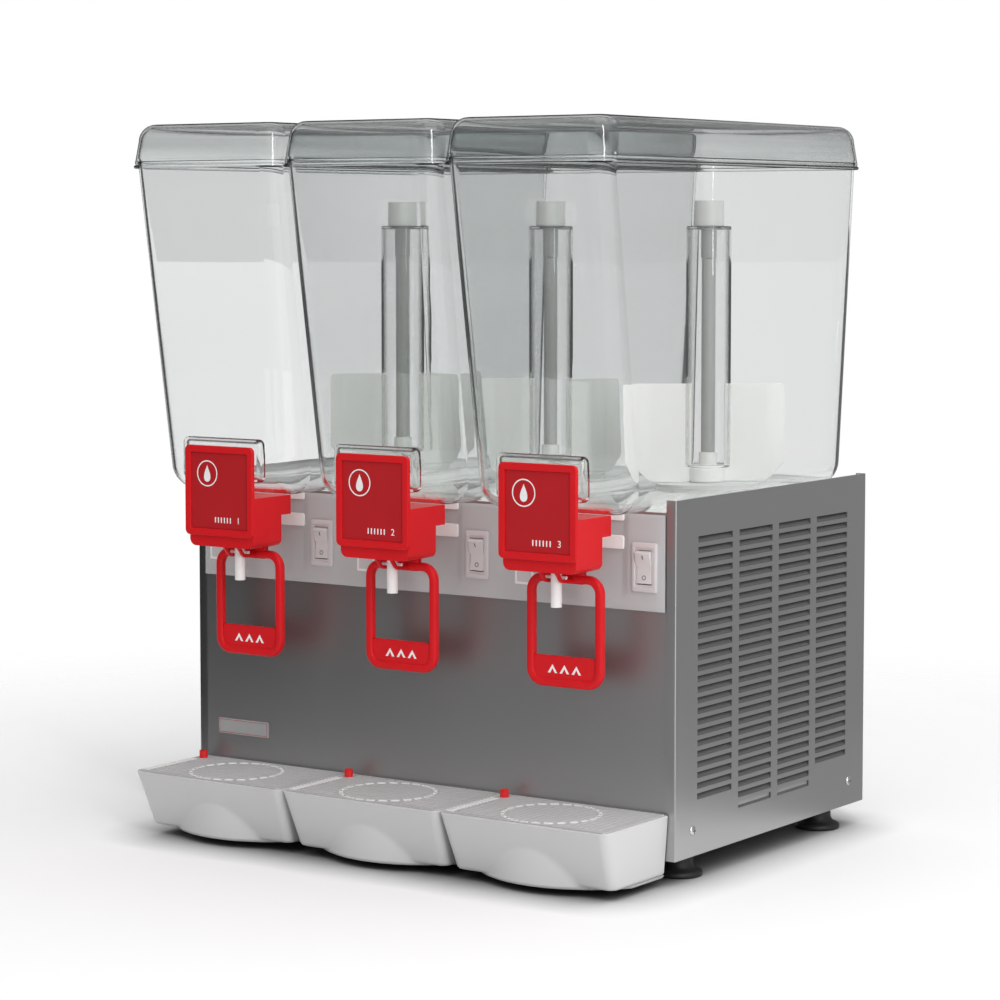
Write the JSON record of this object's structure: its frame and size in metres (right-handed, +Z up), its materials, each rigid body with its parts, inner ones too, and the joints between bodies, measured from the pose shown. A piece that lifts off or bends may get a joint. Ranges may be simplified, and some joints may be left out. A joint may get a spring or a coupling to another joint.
{
  "type": "refrigerated drink dispenser",
  "caption": "Countertop refrigerated drink dispenser: clear lidded tanks with agitators on a louvred steel cabinet, red push-lever taps and pull-out drip trays.",
  "frame": {"origin": "middle of the footprint, on the surface that the feet stand on", "axes": "+Z up, -Y towards the taps, +X to the right when facing the taps"},
  "size_m": [0.5444, 0.4642, 0.67],
  "materials": {
    "galvanised_steel": "spangled sheet",
    "brushed_stainless": "fine vertical brushing",
    "white_deck": "smooth white enamel",
    "fascia_grey": "satin",
    "black_rubber": "matt",
    "screw_steel": "bright",
    "black_enamel": "gloss enamel",
    "fin_aluminium": "plain",
    "dark_motor": "painted",
    "fan_plastic": "satin",
    "polished_stainless": "polished",
    "gasket_rubber": "matt",
    "switch_grey": "satin",
    "black_plastic": "satin",
    "clear_tank": "clear moulded",
    "clear_tube": "clear extruded",
    "red_plastic": "moulded, semi gloss",
    "red_float": "moulded",
    "white_plastic": "moulded",
    "spring_steel": "drawn wire",
    "tray_white": "satin moulded",
    "grid_grey": "satin moulded"
  },
  "bodies": {
    "root": {"base_pan": "galvanised_steel", "side_panel_left": "brushed_stainless", "side_panel_right": "brushed_stainless", "front_panel": "brushed_stainless", "rear_panel": "galvanised_steel", "top_deck": "white_deck", "fascia_strip": "fascia_grey", "feet": "black_rubber", "panel_screws": "screw_steel", "compressor": "black_enamel", "condenser": "fin_aluminium", "fan_motor": "dark_motor", "gear_motors": "dark_motor", "evaporators": "polished_stainless", "tank_gaskets": "gasket_rubber", "switch_bezels": "switch_grey", "cable_gland": "black_plastic"},
    "fan": {"fan_blade": "fan_plastic"},
    "tank_1": {"tank_1": "clear_tank", "tap_body_1": "red_plastic", "tap_cover_1": "red_plastic", "tap_spring_1": "spring_steel"},
    "lid_1": {"tank_lid_1": "clear_tank"},
    "lever_1": {"tap_lever_1": "red_plastic"},
    "piston_1": {"tap_piston_1": "white_plastic"},
    "agitator_1": {"agitator_1": "white_plastic", "agitator_tube_1": "clear_tube"},
    "shaft_1": {"drive_shaft_1": "polished_stainless"},
    "rocker_1": {"switch_rocker_1": "white_plastic"},
    "tray_1": {"drip_tray_1": "tray_white"},
    "grid_1": {"drip_grid_1": "grid_grey"},
    "float_1": {"tray_float_1": "red_float"},
    "tank_2": {"tank_2": "clear_tank", "tap_body_2": "red_plastic", "tap_cover_2": "red_plastic", "tap_spring_2": "spring_steel"},
    "lid_2": {"tank_lid_2": "clear_tank"},
    "lever_2": {"tap_lever_2": "red_plastic"},
    "piston_2": {"tap_piston_2": "white_plastic"},
    "agitator_2": {"agitator_2": "white_plastic", "agitator_tube_2": "clear_tube"},
    "shaft_2": {"drive_shaft_2": "polished_stainless"},
    "rocker_2": {"switch_rocker_2": "white_plastic"},
    "tray_2": {"drip_tray_2": "tray_white"},
    "grid_2": {"drip_grid_2": "grid_grey"},
    "float_2": {"tray_float_2": "red_float"},
    "tank_3": {"tank_3": "clear_tank", "tap_body_3": "red_plastic", "tap_cover_3": "red_plastic", "tap_spring_3": "spring_steel"},
    "lid_3": {"tank_lid_3": "clear_tank"},
    "lever_3": {"tap_lever_3": "red_plastic"},
    "piston_3": {"tap_piston_3": "white_plastic"},
    "agitator_3": {"agitator_3": "white_plastic", "agitator_tube_3": "clear_tube"},
    "shaft_3": {"drive_shaft_3": "polished_stainless"},
    "rocker_3": {"switch_rocker_3": "white_plastic"},
    "tray_3": {"drip_tray_3": "tray_white"},
    "grid_3": {"drip_grid_3": "grid_grey"},
    "float_3": {"tray_float_3": "red_float"}
  },
  "joints": [
    {"name": "fan_spin", "type": "hinge", "parent": "root", "child": "fan", "pos_m": [0.12, -0.0119, 0.1135], "axis": [0, 1, 0], "continuous": true},
    {"name": "tank_1_lift", "type": "slide", "parent": "root", "child": "tank_1", "axis": [0, 0, 1], "range_m": [0, 0.3]},
    {"name": "lid_1_lift", "type": "slide", "parent": "tank_1", "child": "lid_1", "axis": [0, 0, 1], "range_m": [0, 0.06]},
    {"name": "lever_1_push", "type": "hinge", "parent": "tank_1", "child": "lever_1", "pos_m": [-0.178, -0.1939, 0.285], "axis": [1, 0, 0], "range_deg": [0, 12], "stiffness_Nm_per_rad": 0.6, "springref_deg": -8.59},
    {"name": "piston_1_rise", "type": "slide", "parent": "tank_1", "child": "piston_1", "axis": [0, 0, 1], "range_m": [0, 0.004], "deforming": ["tap_spring_1"]},
    {"name": "agitator_1_spin", "type": "hinge", "parent": "tank_1", "child": "agitator_1", "pos_m": [-0.178, 0.0791, 0.336], "axis": [0, 0, 1], "continuous": true},
    {"name": "shaft_1_spin", "type": "hinge", "parent": "root", "child": "shaft_1", "pos_m": [-0.178, 0.0791, 0.32], "axis": [0, 0, 1], "continuous": true},
    {"name": "rocker_1_tilt", "type": "hinge", "parent": "root", "child": "rocker_1", "pos_m": [-0.116, -0.1269, 0.2795], "axis": [1, 0, 0], "range_deg": [-16, 0]},
    {"name": "tray_1_pull", "type": "slide", "parent": "root", "child": "tray_1", "axis": [0, -1, 0], "range_m": [0, 0.13]},
    {"name": "grid_1_lift", "type": "slide", "parent": "tray_1", "child": "grid_1", "axis": [0, 0, 1], "range_m": [0, 0.04]},
    {"name": "float_1_rise", "type": "slide", "parent": "tray_1", "child": "float_1", "axis": [0, 0, 1], "range_m": [0, 0.006]},
    {"name": "tank_2_lift", "type": "slide", "parent": "root", "child": "tank_2", "axis": [0, 0, 1], "range_m": [0, 0.3]},
    {"name": "lid_2_lift", "type": "slide", "parent": "tank_2", "child": "lid_2", "axis": [0, 0, 1], "range_m": [0, 0.06]},
    {"name": "lever_2_push", "type": "hinge", "parent": "tank_2", "child": "lever_2", "pos_m": [0, -0.1939, 0.285], "axis": [1, 0, 0], "range_deg": [0, 12], "stiffness_Nm_per_rad": 0.6, "springref_deg": -8.59},
    {"name": "piston_2_rise", "type": "slide", "parent": "tank_2", "child": "piston_2", "axis": [0, 0, 1], "range_m": [0, 0.004], "deforming": ["tap_spring_2"]},
    {"name": "agitator_2_spin", "type": "hinge", "parent": "tank_2", "child": "agitator_2", "pos_m": [0, 0.0791, 0.336], "axis": [0, 0, 1], "continuous": true},
    {"name": "shaft_2_spin", "type": "hinge", "parent": "root", "child": "shaft_2", "pos_m": [0, 0.0791, 0.32], "axis": [0, 0, 1], "continuous": true},
    {"name": "rocker_2_tilt", "type": "hinge", "parent": "root", "child": "rocker_2", "pos_m": [0.062, -0.1269, 0.2795], "axis": [1, 0, 0], "range_deg": [-16, 0]},
    {"name": "tray_2_pull", "type": "slide", "parent": "root", "child": "tray_2", "axis": [0, -1, 0], "range_m": [0, 0.13]},
    {"name": "grid_2_lift", "type": "slide", "parent": "tray_2", "child": "grid_2", "axis": [0, 0, 1], "range_m": [0, 0.04]},
    {"name": "float_2_rise", "type": "slide", "parent": "tray_2", "child": "float_2", "axis": [0, 0, 1], "range_m": [0, 0.006]},
    {"name": "tank_3_lift", "type": "slide", "parent": "root", "child": "tank_3", "axis": [0, 0, 1], "range_m": [0, 0.3]},
    {"name": "lid_3_lift", "type": "slide", "parent": "tank_3", "child": "lid_3", "axis": [0, 0, 1], "range_m": [0, 0.06]},
    {"name": "lever_3_push", "type": "hinge", "parent": "tank_3", "child": "lever_3", "pos_m": [0.178, -0.1939, 0.285], "axis": [1, 0, 0], "range_deg": [0, 12], "stiffness_Nm_per_rad": 0.6, "springref_deg": -8.59},
    {"name": "piston_3_rise", "type": "slide", "parent": "tank_3", "child": "piston_3", "axis": [0, 0, 1], "range_m": [0, 0.004], "deforming": ["tap_spring_3"]},
    {"name": "agitator_3_spin", "type": "hinge", "parent": "tank_3", "child": "agitator_3", "pos_m": [0.178, 0.0791, 0.336], "axis": [0, 0, 1], "continuous": true},
    {"name": "shaft_3_spin", "type": "hinge", "parent": "root", "child": "shaft_3", "pos_m": [0.178, 0.0791, 0.32], "axis": [0, 0, 1], "continuous": true},
    {"name": "rocker_3_tilt", "type": "hinge", "parent": "root", "child": "rocker_3", "pos_m": [0.24, -0.1269, 0.2795], "axis": [1, 0, 0], "range_deg": [-16, 0]},
    {"name": "tray_3_pull", "type": "slide", "parent": "root", "child": "tray_3", "axis": [0, -1, 0], "range_m": [0, 0.13]},
    {"name": "grid_3_lift", "type": "slide", "parent": "tray_3", "child": "grid_3", "axis": [0, 0, 1], "range_m": [0, 0.04]},
    {"name": "float_3_rise", "type": "slide", "parent": "tray_3", "child": "float_3", "axis": [0, 0, 1], "range_m": [0, 0.006]}
  ],
  "couplings": [
    {"joint": "piston_1_rise", "follows": "lever_1_push", "m_per_rad": 0.0183},
    {"joint": "shaft_1_spin", "follows": "agitator_1_spin", "ratio": 1},
    {"joint": "piston_2_rise", "follows": "lever_2_push", "m_per_rad": 0.0183},
    {"joint": "shaft_2_spin", "follows": "agitator_2_spin", "ratio": 1},
    {"joint": "piston_3_rise", "follows": "lever_3_push", "m_per_rad": 0.0183},
    {"joint": "shaft_3_spin", "follows": "agitator_3_spin", "ratio": 1}
  ]
}
